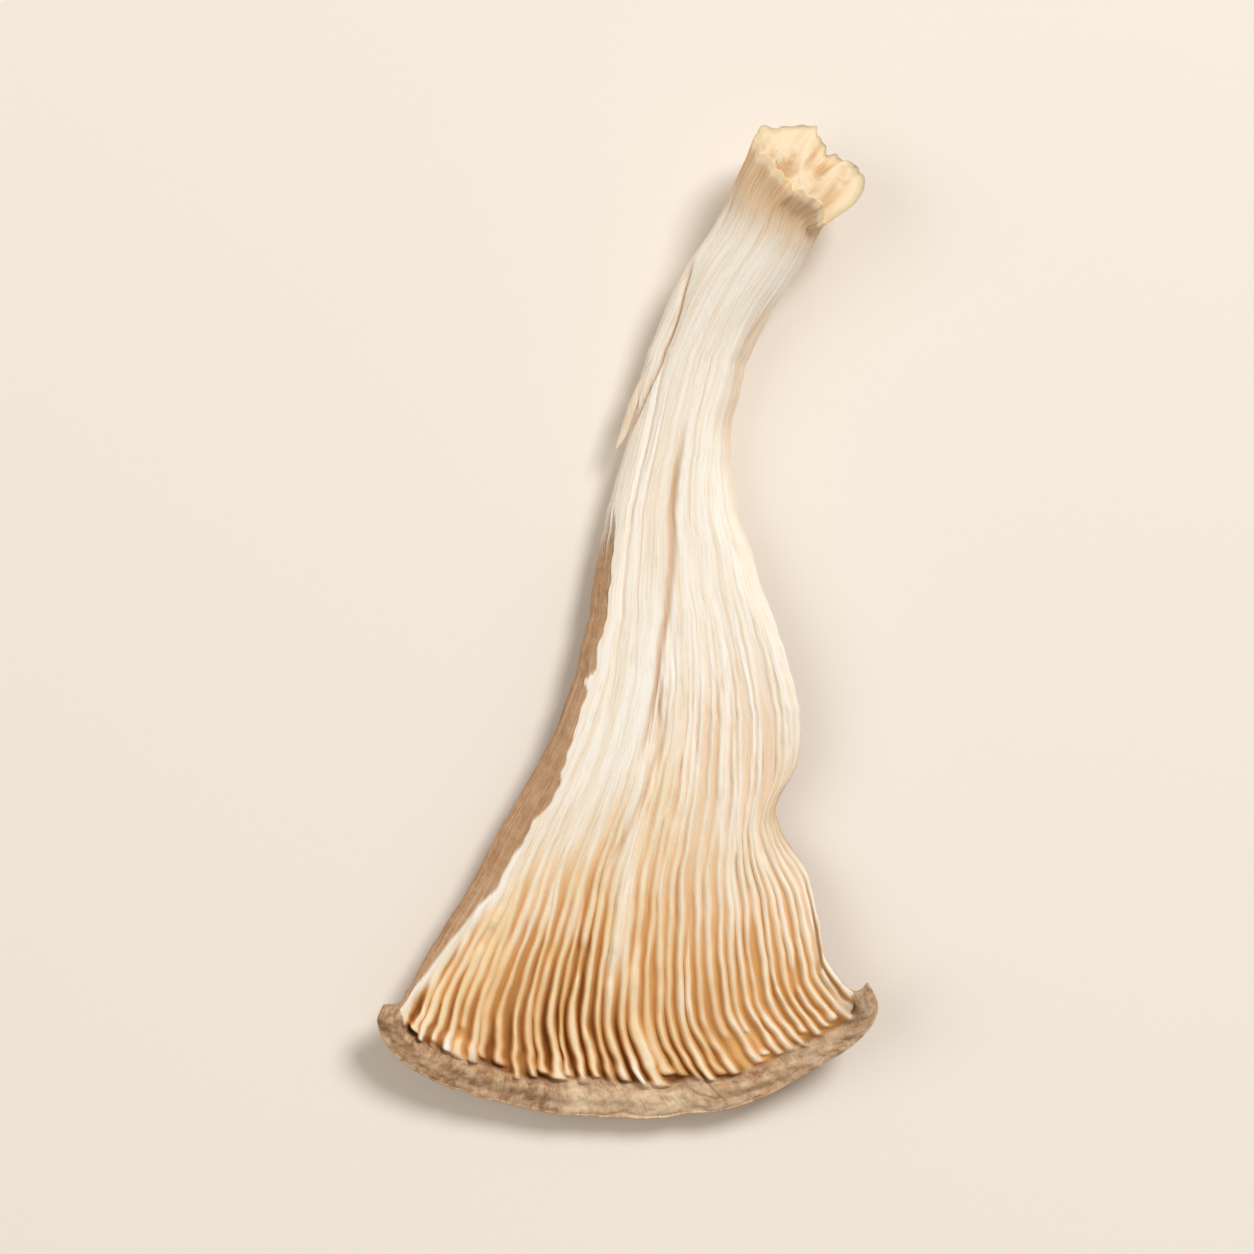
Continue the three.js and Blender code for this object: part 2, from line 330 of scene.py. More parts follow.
def front_base(g, v):
    """The gill side without gills or fibres: its points, and the width of each row."""
    u = across_at(g, v)
    x, y, width = plan(u, v)
    above = heights_at(v)[..., 1]
    left_round, right_round = sides_at(v)[..., 2], sides_at(v)[..., 3]
    lip_round = rounding((1 - v) / (1 - LIP_FROM), 1)
    full = rounding(u * width, left_round) * rounding((1 - u) * width, right_round) * lip_round
    lip = LIP_THICKNESS * smooth(v, LIP_FROM - LIP_GILL_GAP, LIP_FROM)
    z = middle_height(u, v) + full * (above + lip)
    x, y = slant_cut(x, y, -CUT_FRONT * full, v)
    return np.stack([x, y, z], axis=-1), width


def ragged_rim(points, angle, v):
    """Moves the points near the cut along the stem."""
    points[..., 0] += CUT_TOWARDS[0] * rim_reach(angle, v)
    points[..., 1] += CUT_TOWARDS[1] * rim_reach(angle, v)


def back_base(g, v):
    u = across_at(g, v)
    x, y, width = plan(u, v)
    below = heights_at(v)[..., 2]
    full = rounding(u * width, BACK_ROUNDING * width) * rounding((1 - u) * width, BACK_ROUNDING * width)
    full = full * rounding((1 - v) / (1 - LIP_FROM), 1.6)
    z = middle_height(u, v) - full * below
    x, y = slant_cut(x, y, CUT_BACK * full, v)
    return np.stack([x, y, z], axis=-1)


def normals_of(points):
    along = np.gradient(points, axis=0)
    across = np.gradient(points, axis=1)
    n = np.cross(along, across)
    return n / np.maximum(np.linalg.norm(n, axis=-1, keepdims=True), 1e-9)


def length_across(points):
    steps = np.linalg.norm(np.diff(points, axis=1), axis=-1)
    return np.concatenate([np.zeros((len(points), 1)), np.cumsum(steps, axis=1)], axis=1)


def length_along(points):
    steps = np.linalg.norm(np.diff(points, axis=0), axis=-1)
    return np.concatenate([np.zeros((1, points.shape[1])), np.cumsum(steps, axis=0)], axis=0)


def gill_set():
    """Each gill: its place g at the margin, where it rises, its shape, and the gill it forks from."""
    rng = np.random.default_rng(SEED)
    gills = []
    g = 0.025
    while g < 0.985:
        pitch = GILL_PITCH[0] + (GILL_PITCH[1] - GILL_PITCH[0]) * smooth(g, 0.45, 0.85)
        right = smooth(g, 0.36, 0.52)
        start = 0.56 + rng.uniform(-0.03, 0.03) + (0.4 - 0.56) * right + right * rng.uniform(0, 0.08)
        size, thick = rng.uniform(0.68, 1.12), rng.uniform(0.8, 1.25)
        gills.append({"g": g, "start": start, "size": size, "thick": thick, "merge": None, "parent": None})
        g += pitch * rng.uniform(0.78, 1.2)
    for i in range(2, len(gills) - 2):
        draw = rng.uniform() + (0.46 < gills[i]["g"] < 0.62)
        if draw < FORK_SHARE:
            gills[i]["parent"] = gills[i - 1]["g"]
            gills[i]["merge"] = rng.uniform(0.58, 0.78)
        elif draw < FORK_SHARE + SHORT_SHARE:
            gills[i]["start"] = rng.uniform(0.62, 0.74)
    return gills


def gill_relief(g, v, s):
    """Ridge height from 0, a valley, to 1, a crest. s is the length across each row."""
    ridge = np.zeros_like(g)
    rows_v = v[:, 0]
    gills = gill_set()
    places = np.array([gill["g"] for gill in gills])
    pitches = np.gradient(places)
    for number, gill in enumerate(gills):
        wander = 0.0038 * noise(rows_v * 14, number * 7, 41) + 0.0018 * noise(rows_v * 47, number * 7, 42)
        line = gill["g"] + wander
        if gill["parent"] is not None:
            apart = smooth(rows_v, gill["merge"], gill["merge"] + 0.1)
            line = gill["parent"] + (line - gill["parent"]) * apart
        line_s = np.array([np.interp(line[j], g[j], s[j]) for j in range(len(rows_v))])
        end = lip_line(np.array(gill["g"])) + 0.013 * hashed(np.array(number), np.array(5), 9)
        risen = smooth(rows_v, gill["start"], gill["start"] + 0.07)
        height = risen * (1 - smooth(rows_v, end - 0.002, end + 0.005))
        uneven = 0.2 * noise(rows_v * 26, number * 7, 43) + 0.12 * noise(rows_v * 75, number * 7, 45)
        breaks = smooth(noise(rows_v * 22, number * 7, 47), 0.7, 0.84) * smooth(rows_v, 0.7, 0.78)
        height = height * gill["size"] * (1 + uneven) * (1 - 0.5 * breaks)
        fleshy = max(hashed(np.array(number), np.array(3), 9), 0)
        fleshy_tip = fleshy * smooth(rows_v, end - 0.014, end - 0.004)
        share = 0.37 - 0.07 * smooth(rows_v, 0.66, 0.86)
        reach = np.minimum(pitches[number], 0.036) * s[:, -1]
        thick = 1 + 0.28 * noise(rows_v * 19, number * 7, 44) + 0.12 * noise(rows_v * 60, number * 7, 46)
        half = reach * share * gill["thick"] * (thick + 0.9 * fleshy_tip)
        away = np.abs(s - line_s[:, None]) / half[:, None]
        ridge = np.maximum(ridge, np.clip(height, 0, 1.1)[:, None] / (1 + away**4.2))
    return np.clip(ridge, 0, 1)


def front_surface(g, v):
    base, width = front_base(g, v)
    normal = normals_of(base)
    s = length_across(base)
    t = length_along(base)
    u = across_at(g, v)
    from_left = u * width
    from_right = (1 - u) * width
    near_edge = smooth(np.minimum(from_left, from_right), 0.0, 0.35)
    near_ends = near_edge * smooth(1 - v, 0, 0.012)

    # The left flank: cap skin seen past the torn edge of the pale tissue.
    flank_width = flank_at(v)[..., 0] * (1 + 0.16 * noise(v * 34, 0.5, 51) + 0.1 * noise(v * 95, 0.5, 52))
    tooth = np.exp(-(((v - FLANK_TOOTH_AT) / FLANK_TOOTH_HALF_WIDTH) ** 2))
    flank_width = flank_width * (1 - FLANK_TOOTH_SHARE * tooth)
    shown = smooth(v + 0.03 * noise(g * 300, v * 3, 53), 0.34, 0.41)
    on_flank = (1 - smooth(from_left, flank_width - 0.07, flank_width + 0.07)) * shown

    # Gills, which rise out of the flesh, and end in a ditch against the lip.
    ridge = gill_relief(g, v, s)
    end = lip_line(g)
    start = 0.57 + (0.4 - 0.57) * smooth(g, 0.36, 0.52)
    grown = smooth(v, start, start + 0.2) * smooth(from_left, flank_width + 0.1, flank_width + 1.1)
    grown = grown * smooth(from_right, 0.15, 1.2)
    pitch_mm = GILL_PITCH[0] * s[:, -1:]
    out_of_ditch = smooth(v, end + 0.003, end + 0.024)
    depth = GILL_DEPTH * pitch_mm * (1 - 0.35 * smooth(g, 0.5, 0.9)) * grown
    # A broad pale ridge runs down from the furrow's fork.
    spine_at = 0.472 + 0.055 * smooth(v, 0.58, 0.74) + 0.008 * noise(v * 6, 0.5, 54)
    spine = np.exp(-(((g - spine_at) / (0.036 - 0.016 * smooth(v, 0.62, 0.8))) ** 2)) * smooth(v, 0.55, 0.62)
    spine = spine * (1 - smooth(v, 0.76, 0.84))
    depth = depth * (1 - 0.7 * spine)
    cut = depth * ((1 - ridge) * (1 - out_of_ditch) + 0.3 * out_of_ditch)
    gilled = grown * (1 - out_of_ditch)
    # The valleys between the gills: golden tissue, with painted shade in them that grows darker towards the
    # margin.
    darker_to_margin = smooth(v, 0.66, 0.88) * (1 - 0.5 * smooth(g, 0.5, 0.8)) * (1 + 0.35 * noise(g * 24, v * 9, 55))
    cavity_gold_and_shade = (1 - ridge) * gilled * (0.24 + 0.76 * darker_to_margin) * (1 - 0.7 * spine)
    # Painted shadow in the ditch where the gills end against the lip, broken into pockets along it.
    shadow_pockets = smooth(noise(g * 46, v * 12, 56), -0.7, 0.3) * (1 - 0.5 * smooth(g, 0.55, 0.8))
    pale_tips = smooth(v, end - 0.035, end - 0.008) * smooth(noise(g * 27, 0.5, 57), -0.2, 0.5)
    ditch_shadow = (1 - ridge) * grown * shadow_pockets * np.exp(-(((v - end + 0.001) / 0.009) ** 2))

    # The lip: swollen, uneven, with fine cracks that run on from the gills.
    on_lip = smooth(v, end - 0.001, end + 0.007)
    over_lip = np.clip((v - LIP_FROM) / (1 - LIP_FROM), 0, 1)
    lip = on_lip * (0.2 * noise(g * 13, v * 26, 61) + 0.11 * noise(g * 44, v * 50, 62))
    lip = lip + 0.24 * np.exp(-(((over_lip - 0.3) / 0.26) ** 2)) * on_lip
    cracks = np.clip(1 - np.abs(noise(g * 60, v * 9, 63)) * 8, 0, 1)
    cracks = cracks * smooth(noise(g * 14, v * 12, 64), -0.1, 0.5)
    cracks = cracks * on_lip * (1 - smooth(over_lip, 0.75, 1))

    # The furrow down the neck, with a ridge on its left.
    away = (u - groove_at(v)[..., 0]) * width
    furrow_half = 0.17 + 0.06 * smooth(v, 0.28, 0.36) - 0.06 * smooth(v, 0.42, 0.55)
    in_furrow = smooth(v, 0.25, 0.33) * (1 - smooth(v, 0.575, 0.61))
    furrow = in_furrow * np.exp(-((away / furrow_half) ** 2))
    fork = smooth(v, 0.5, 0.54) * (1 - smooth(v, 0.66, 0.74))
    fork_away = away - 0.9 * smooth(v, 0.5, 0.6)
    furrow = np.maximum(furrow, 0.7 * fork * np.exp(-((fork_away / 0.16) ** 2)))
    ridge_left = smooth(v, 0.3, 0.4) * (1 - smooth(v, 0.6, 0.7)) * np.exp(-(((away + 0.85) / 0.65) ** 2))

    # The strand that has come loose along the left side of the stem.
    strand_at = 0.02 + 0.13 * smooth(v, 0.09, 0.18) - 0.13 * smooth(v, 0.2, 0.29)
    strand = smooth(v, 0.1, 0.13) * (1 - smooth(v, 0.26, 0.29))
    strand = strand * np.exp(-((((u - strand_at) * width) / 0.11) ** 2))

    # Fibres: long ridges in the stem that follow the lines of growth, finer towards the cap.
    stem = 1 - smooth(v, 0.45, 0.72)
    shifted = v + 0.2 * noise(g * 37, 0.5, 70)
    plain = 1 - 0.5 * smooth(v, 0.25, 0.35)
    fibres = 0.17 * noise(g * 5, v * 4, 71) + 0.045 * plain * noise(g * 15, shifted * 4, 72)
    fibres = fibres + 0.022 * noise(g * 40, shifted * 6, 73) + 0.012 * noise(g * 100, shifted * 10, 74)
    facets = np.abs(noise(g * 4.3 + 0.4, v * 2.5, 78))
    fibres = fibres - 0.16 * np.clip(0.3 - facets, 0, 1) / 0.3
    creases = np.clip(1 - np.abs(noise(g * 13, shifted * 4, 75)) * 9, 0, 1)
    creases = creases * smooth(noise(g * 9, v * 7, 79), -0.2, 0.4)
    skin_rough = 0.05 * noise(s * 2.2, t * 1.6, 76) + 0.03 * noise(s * 5, t * 4, 77)
    lift = near_ends * (
        fibres * (0.3 + 0.7 * stem) * (1 - on_lip) * (1 - 0.7 * on_flank)
        - 0.07 * creases * stem
        - 0.34 * furrow
        + 0.16 * ridge_left
        + 0.18 * spine
        - 0.26 * strand
        + lip
        - 0.08 * cracks
        + skin_rough * (0.8 * on_flank + on_lip)
        - 0.18 * on_flank
    )
    points = base + normal * (lift + rim_flare(g / 2, v))[..., None]
    points[..., 2] -= cut * near_ends
    ragged_rim(points, g / 2, v)

    rim = 1 - smooth(v, 0.004, 0.014)
    # Painted shadow under the overhanging rim of the cut.
    under_rim_shadow = smooth(v, 0.002, 0.01) * (1 - smooth(v, 0.02, 0.085))
    right_rim = (1 - smooth(from_right, 0.05, 0.3)) * smooth(v, 0.55, 0.66)
    golden = gilled * smooth(v, 0.5, 0.8) * (1 - 0.6 * spine) * (1 - pale_tips)
    golden = golden * (1 - 0.5 * smooth(g, 0.55, 0.8))
    pale = np.exp(-(((g - 0.56) / 0.1) ** 2)) + 0.8 * np.exp(-(((g - 0.41) / 0.03) ** 2))
    pale = np.clip(pale + 0.35 * smooth(g, 0.6, 0.9), 0, 1)
    pale = pale * (0.75 + 0.25 * noise(g * 40, v * 30, 65))
    masks = {
        # Golden valleys, with painted shade in them.
        "cavity_gold_and_shade": np.clip(cavity_gold_and_shade, 0, 1),
        # Painted shadow at the gill ends.
        "ditch_shadow": np.clip(ditch_shadow * 1.2, 0, 1),
        "skin": np.clip(on_flank + on_lip + 0.7 * right_rim, 0, 1),
        "flank": on_flank * (1 - on_lip),
        "cut": rim,
        "gilled": golden,
        # Painted shade in the furrow, along the loose strand, in the stem's creases and in the lip's cracks.
        "crease_shade": np.clip(0.8 * furrow + 0.8 * strand + 0.3 * creases * stem + 0.75 * cracks, 0, 1),
        # Painted shade under the cut's rim, down the right side of the stem and in the notch of the right
        # edge.
        "tan_and_shade": np.clip(
            1.0 * under_rim_shadow
            + 0.5 * (1 - smooth(from_right, 0.2, 1.3)) * smooth(v, 0.1, 0.2) * (1 - smooth(v, 0.27, 0.33))
            + 0.8 * np.exp(-(((v - 0.67) / 0.05) ** 2)) * (1 - smooth(from_right, 0.3, 3.2)),
            0,
            1,
        ),
        "pale": on_lip * pale,
    }
    flow = np.stack([g * 30, t, np.zeros_like(g)], axis=-1)
    return points, masks, flow


def back_surface(g, v):
    base = back_base(g, v)
    normal = -normals_of(base)
    s = length_across(base)
    t = length_along(base)
    u = across_at(g, v)
    inner = smooth(np.minimum(u, 1 - u), 0.0, 0.03) * smooth(1 - v, 0, 0.02)
    cap = smooth(v + 0.06 * noise(g * 6, 0.5, 81) + 0.04 * noise(g * 60, v * 3, 80), 0.36, 0.58)
    wrinkles = 0.16 * noise(g * 12, v * 9, 82) + 0.09 * noise(g * 27, v * 17, 83)
    folds = np.clip(1 - np.abs(noise(g * 14, v * 6, 84)) * 3.5, 0, 1)
    fibres = 0.12 * noise(g * 9, v * 7, 85) + 0.08 * noise(g * 22, v * 12, 86)
    pits = 0.05 * noise(s * 1.6, t * 1.4, 87)
    lift = inner * (cap * (wrinkles - 0.16 * folds + pits) + (1 - cap) * fibres)
    points = base + normal * (lift + rim_flare(1 - g / 2, v))[..., None]
    ragged_rim(points, 1 - g / 2, v)
    left_skin = (1 - smooth(u, 0.0, 0.25)) * smooth(v + 0.03 * noise(g * 300, v * 3, 53), 0.36, 0.46)
    masks = {
        "cavity_gold_and_shade": np.zeros_like(g),
        "ditch_shadow": np.zeros_like(g),
        "skin": np.clip(cap + left_skin, 0, 1),
        "flank": 0.6 * left_skin * (1 - cap),
        "cut": 1 - smooth(v, 0.004, 0.014),
        "gilled": np.zeros_like(g),
        # Painted shade in the folds of the cap's back and in the hollows between the stem's fibres.
        "crease_shade": np.clip(cap * folds * 0.6 + (1 - cap) * np.clip(-fibres * 5, 0, 0.5), 0, 1),
        "tan_and_shade": 0.35 + 0.3 * noise(g * 5, v * 5, 88),
        "pale": 0.5 * smooth(noise(g * 5, v * 7, 89), 0.1, 0.8) * cap,
    }
    flow = np.stack([g * 30, t, np.full_like(g, 5.0)], axis=-1)
    return points, masks, flow


MASKS = ("cavity_gold_and_shade", "ditch_shadow", "skin", "flank", "cut", "gilled", "crease_shade", "tan_and_shade", "pale")


# --------------------------------------------------------------------------------------------------
# Mesh


def column_positions():
    edge = EDGE_SHARE * (1 - np.cos(np.linspace(0, math.pi / 2, EDGE_COLUMNS + 1)[:-1]))
    gills = np.linspace(EDGE_SHARE, 1 - EDGE_SHARE, GILL_COLUMNS + 1)
    return np.concatenate([edge, gills, 1 - edge[::-1]])


def row_positions():
    stem = STEM_TO * np.linspace(0, 1, STEM_ROWS + 1)[:-1] ** 1.35
    gills = np.linspace(STEM_TO, LIP_FROM - 0.02, GILL_ROWS + 1)[:-1]
    lip = LIP_FROM - 0.02 + (1 - LIP_FROM + 0.02) * np.sin(np.linspace(0, math.pi / 2, LIP_ROWS + 1))
    return np.concatenate([stem, gills, lip])


def grid_faces(ids):
    a, b = ids[:-1, :-1], ids[1:, :-1]
    c, d = ids[1:, 1:], ids[:-1, 1:]
    first = np.stack([a, b, c], axis=-1).reshape(-1, 3)
    second = np.stack([a, c, d], axis=-1).reshape(-1, 3)
    return np.concatenate([first, second])


def margin_band(last, rim):
    """Triangles between the back's last row and the margin, which has BACK_STEP times as many points."""
    faces = []
    for k in range(len(last) - 1):
        fan = [rim[BACK_STEP * k + i] for i in range(BACK_STEP + 1)]
        half = BACK_STEP // 2 + 1
        faces += [(last[k], fan[i + 1], fan[i]) for i in range(half)]
        faces.append((last[k], last[k + 1], fan[half]))
        faces += [(last[k + 1], fan[i + 1], fan[i]) for i in range(half, BACK_STEP)]
    return np.array(faces)


class Builder:
    """Collects points with their masks, flow coordinates and texture places, and the faces between them."""

    def __init__(self):
        self.points, self.flow, self.uv, self.faces = [], [], [], []
        self.masks = {name: [] for name in MASKS}
        self.count = 0

    def add(self, points, masks, flow, uv):
        n = len(points)
        self.points.append(points)
        self.flow.append(flow)
        self.uv.append(uv)
        for name in MASKS:
            self.masks[name].append(np.broadcast_to(masks[name], (n,)))
        self.count += n
        return np.arange(self.count - n, self.count)

    def mesh(self, name):
        points = np.concatenate(self.points)
        faces = np.concatenate(self.faces).astype(np.int32)
        mesh = bpy.data.meshes.new(name)
        mesh.vertices.add(len(points))
        mesh.vertices.foreach_set("co", points.astype(np.float32).ravel())
        mesh.loops.add(faces.size)
        mesh.loops.foreach_set("vertex_index", faces.ravel())
        mesh.polygons.add(len(faces))
        mesh.polygons.foreach_set("loop_start", np.arange(0, faces.size, 3, dtype=np.int32))
        mesh.update(calc_edges=True)
        mesh.polygons.foreach_set("use_smooth", np.ones(len(faces), bool))
        for mask in MASKS:
            layer = mesh.attributes.new(mask, "FLOAT", "POINT")
            layer.data.foreach_set("value", np.concatenate(self.masks[mask]).astype(np.float32))
        layer = mesh.attributes.new("flow", "FLOAT_VECTOR", "POINT")
        layer.data.foreach_set("vector", np.concatenate(self.flow).astype(np.float32).ravel())
        uv = np.concatenate(self.uv)[faces.ravel()]
        mesh.uv_layers.new(name="OFBake").data.foreach_set("uv", uv.astype(np.float32).ravel())
        mesh.validate()
        return mesh


def flat_uv(points, left, low, size):
    """A place in the texture for points seen from above; the whole texture spans size millimetres."""
    return np.stack([left + (points[:, 0] + 16.5) / size, low + (points[:, 1] + 33) / size], axis=-1)


def flattened(masks):
    return {name: masks[name].reshape(-1) for name in MASKS}


def add_cut_face(build, front_rim, back_rim, points):
    """The cut end of the stem: folded, dented tissue inside its crinkled rim."""
    loop_ids = np.concatenate([front_rim, back_rim[1:-1][::-1]])
    loop = points[loop_ids]
    centre = loop.mean(axis=0)
    across = points[front_rim[0]] - points[front_rim[-1]]
    down = points[back_rim[len(back_rim) // 2]] - points[front_rim[len(front_rim) // 2]]
    inward = np.cross(across, down)
    inward /= np.linalg.norm(inward)
    across /= np.linalg.norm(across)
    down /= np.linalg.norm(down)
    ring_ids = loop_ids
    for ring in range(1, CUT_RINGS + 1):
        share = ring / CUT_RINGS
        place = loop + (centre - loop) * share * 0.97
        a, b = (place - centre) @ across, (place - centre) @ down
        folds = 0.5 * noise(a * 1.2 + 3, b * 0.3, 91) + 0.26 * noise(a * 2.9, b * 0.45, 92)
        depth = 0.7 * CUT_DENT * smooth(share, 0.0, 0.3) + smooth(share, 0.0, 0.25) * folds
        place = place + inward * depth[:, None]
        # Painted shade, darker where the folds sink deeper into the cut.
        shade = np.clip(0.3 + 0.5 * smooth(depth, 0.3, 0.8) + 0.25 * noise(a * 2.4, b * 0.6, 93), 0, 1)
        masks = {name: np.zeros(len(place)) for name in MASKS}
        masks["cut"] = 1 - 0.2 * smooth(share, 0, 0.3) * np.ones(len(place))
        masks["tan_and_shade"] = shade * smooth(share, 0, 0.2)
        # Painted shade in the creases between the folds.
        fold_shade = smooth(folds + 0.2 * noise(a * 5, b * 0.6, 94), 0.0, 0.4)
        masks["crease_shade"] = 0.9 * fold_shade * smooth(share, 0.03, 0.15)
        flow = np.stack([a * 3, b, np.full(len(a), 9.0)], axis=-1)
        uv = np.stack([0.9 + a / 80, 0.06 + b / 80], axis=-1)
        ids = build.add(place, masks, flow, uv)
        outer, inner = np.append(ring_ids, ring_ids[0]), np.append(ids, ids[0])
        build.faces.append(grid_faces(np.stack([inner, outer])))
        ring_ids = ids
    last = {name: np.zeros(1) for name in MASKS}
    last["cut"], last["tan_and_shade"] = np.ones(1), np.full(1, 0.6)
    middle = build.add(place.mean(axis=0)[None], last, np.zeros((1, 3)), np.array([[0.9, 0.06]]))[0]
    build.faces.append(np.array([(p, q, middle) for p, q in zip(ring_ids, np.roll(ring_ids, -1))]))


def add_fibre(build, path, radius):
    """A loose fibre: a thin tapered strand along the path, pointed at both ends."""
    path = np.array(path, float)
    steps, sides = 26, 8
    line = curve_through([(k / (len(path) - 1), *p) for k, p in enumerate(path)])(np.linspace(0, 1, steps))
    along = np.gradient(line, axis=0)
    along /= np.linalg.norm(along, axis=1, keepdims=True)
    side = np.cross(along, (0, 0, 1.0))
    side /= np.linalg.norm(side, axis=1, keepdims=True)
    up = np.cross(side, along)
    girth = radius * np.sin(np.pi * np.clip(np.linspace(0.0, 1, steps), 0.002, 0.998)) ** 0.6
    angle = np.linspace(0, 2 * math.pi, sides, endpoint=False)
    ring = np.cos(angle)[:, None, None] * side + 0.6 * np.sin(angle)[:, None, None] * up
    points = (line + ring * girth[:, None]).transpose(1, 0, 2).reshape(-1, 3)
    masks = {name: np.zeros(len(points)) for name in MASKS}
    masks["tan_and_shade"] = np.full(len(points), 0.45)
    flow = np.stack([points[:, 0] * 3, points[:, 1], points[:, 2]], axis=-1)
    uv = np.broadcast_to([0.97, 0.97], (len(points), 2))
    ids = build.add(points, masks, flow, uv).reshape(steps, sides)
    build.faces.append(grid_faces(np.concatenate([ids, ids[:, :1]], axis=1)))
    for end, turn in ((ids[0], 1), (ids[-1], -1)):
        fan = [(end[0], end[i + 1], end[i])[::turn] for i in range(1, sides - 1)]
        build.faces.append(np.array(fan))


def build_strip():
    v_rows, g_front = row_positions(), column_positions()
    g_back = g_front[::BACK_STEP]
    front, front_masks, front_flow = front_surface(*np.meshgrid(g_front, v_rows))
    back, back_masks, back_flow = back_surface(*np.meshgrid(g_back, v_rows))

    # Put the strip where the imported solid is: centred on its box, and flat where it touches the table.
    plain_front = front_base(*np.meshgrid(g_front, v_rows))[0]
    plain_back = back_base(*np.meshgrid(g_back, v_rows))
    plain = np.concatenate([plain_front.reshape(-1, 3), plain_back.reshape(-1, 3)])
    low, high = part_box(NODE)
    middle = np.array([(low.x + high.x) / 2, (low.y + high.y) / 2]) / MM
    shift = np.append(middle - (plain.min(0) + plain.max(0))[:2] / 2, -plain[:, 2].min() - TABLE_SINK)
    front, back = front + shift, back + shift

    build = Builder()
    texture_mm = 67.0
    flat_front = front.reshape(-1, 3)
    front_uv = flat_uv(flat_front, 0.0, 0.01, texture_mm)
    front_ids = build.add(flat_front, flattened(front_masks), front_flow.reshape(-1, 3), front_uv)
    front_ids = front_ids.reshape(front.shape[:2])
    flat_back = back.reshape(-1, 3)
    back_uv = flat_uv(flat_back, 0.5, 0.01, texture_mm)
    back_ids = build.add(flat_back, flattened(back_masks), back_flow.reshape(-1, 3), back_uv)
    back_ids = back_ids.reshape(back.shape[:2])
    back_ids[:, 0], back_ids[:, -1] = front_ids[:, 0], front_ids[:, -1]
    build.faces.append(grid_faces(front_ids))
    build.faces.append(grid_faces(back_ids[:-1])[:, ::-1])
    build.faces.append(margin_band(back_ids[-2], front_ids[-1]))
    points = np.concatenate([flat_front, flat_back])
    add_cut_face(build, front_ids[0], back_ids[0], points)
    add_fibre(build, LOOSE_STRAND + shift * (1, 1, 0), LOOSE_STRAND_RADIUS)
    for place in build.points:
        place[:, 2] = np.maximum(place[:, 2], 0.0)
        place *= MM
    mesh = build.mesh("strip_surface")
    strip = bpy.data.objects.new("strip_surface", mesh)
    bpy.context.scene.collection.objects.link(strip)
    return strip


# --------------------------------------------------------------------------------------------------
# Materials


def linear(r, g, b):
    """An sRGB colour from 0 to 255 as the linear colour that a shader takes."""
    values = [c / 255 for c in (r, g, b)]
    return tuple(c / 12.92 if c <= 0.04045 else ((c + 0.055) / 1.055) ** 2.4 for c in values) + (1.0,)


class Nodes:
    """Short calls for building a material's nodes."""

    def __init__(self, name):
        self.material = bpy.data.materials.new(name)
        self.material.use_nodes = True
        self.tree = self.material.node_tree
        self.shader = self.tree.nodes["Principled BSDF"]

    def link(self, source, target):
        self.tree.links.new(source, target)

    def attribute(self, name, output="Fac"):
        node = self.tree.nodes.new("ShaderNodeAttribute")
        node.attribute_name = name
        return node.outputs[output]

    def scaled(self, vector, scale):
        node = self.tree.nodes.new("ShaderNodeMapping")
        node.inputs["Scale"].default_value = scale
        self.link(vector, node.inputs["Vector"])
        return node.outputs["Vector"]

    def noise(self, vector, scale, detail=4.0, roughness=0.55):
        node = self.tree.nodes.new("ShaderNodeTexNoise")
        node.inputs["Scale"].default_value = scale
        node.inputs["Detail"].default_value = detail
        node.inputs["Roughness"].default_value = roughness
        self.link(vector, node.inputs["Vector"])
        return node.outputs["Fac"]

    def ramp(self, value, low, high, to_low=0.0, to_high=1.0):
        node = self.tree.nodes.new("ShaderNodeMapRange")
        node.interpolation_type = "SMOOTHSTEP"
        for name, number in (("From Min", low), ("From Max", high), ("To Min", to_low), ("To Max", to_high)):
            node.inputs[name].default_value = number
        self.link(value, node.inputs["Value"])
        return node.outputs["Result"]

    def math(self, operation, a, b):
        node = self.tree.nodes.new("ShaderNodeMath")
        node.operation = operation
        node.use_clamp = operation != "SUBTRACT"
        for socket, value in zip(node.inputs, (a, b)):
            if isinstance(value, (int, float)):
                socket.default_value = value
            else:
                self.link(value, socket)
        return node.outputs[0]

    def mix(self, factor, a, b):
        node = self.tree.nodes.new("ShaderNodeMix")
        node.data_type = "RGBA"
        for socket, value in ((node.inputs["Factor"], factor), (node.inputs["A"], a), (node.inputs["B"], b)):
            if isinstance(value, (tuple, float)):
                socket.default_value = value
            else:
                self.link(value, socket)
        return node.outputs["Result"]

    def bump(self, height, distance, strength, normal=None):
        node = self.tree.nodes.new("ShaderNodeBump")
        node.inputs["Distance"].default_value = distance
        node.inputs["Strength"].default_value = strength
        self.link(height, node.inputs["Height"])
        if normal is not None:
            self.link(normal, node.inputs["Normal"])
        return node.outputs["Normal"]


CREAM = linear(255, 250, 242)
IVORY = linear(246, 234, 215)
GOLD = linear(249, 217, 166)
# The valleys' golden colour, and painted shade in the deepest of them.
VALLEY_GOLD_AND_SHADE = linear(220, 168, 104)
BROWN_GOLD_AND_SHADE = linear(152, 96, 48)
# Painted shadow at the ends of the gills.
DITCH_SHADOW_BROWN = linear(108, 66, 34)
# Fine lines in the flesh, and painted shade in creases.
CREASE_SHADE_AND_LINES = linear(200, 152, 98)
# Tan tone of the flesh, and painted shade under the cut's rim, on the stem's right side and in the notch.
TAN_TONE_AND_SHADE = linear(219, 178, 128)
SKIN_DARK = linear(140, 98, 62)
SKIN_MID = linear(192, 154, 118)
SKIN_PALE = linear(236, 212, 182)
FLANK_SKIN = linear(190, 148, 112)
CUT = linear(246, 222, 180)


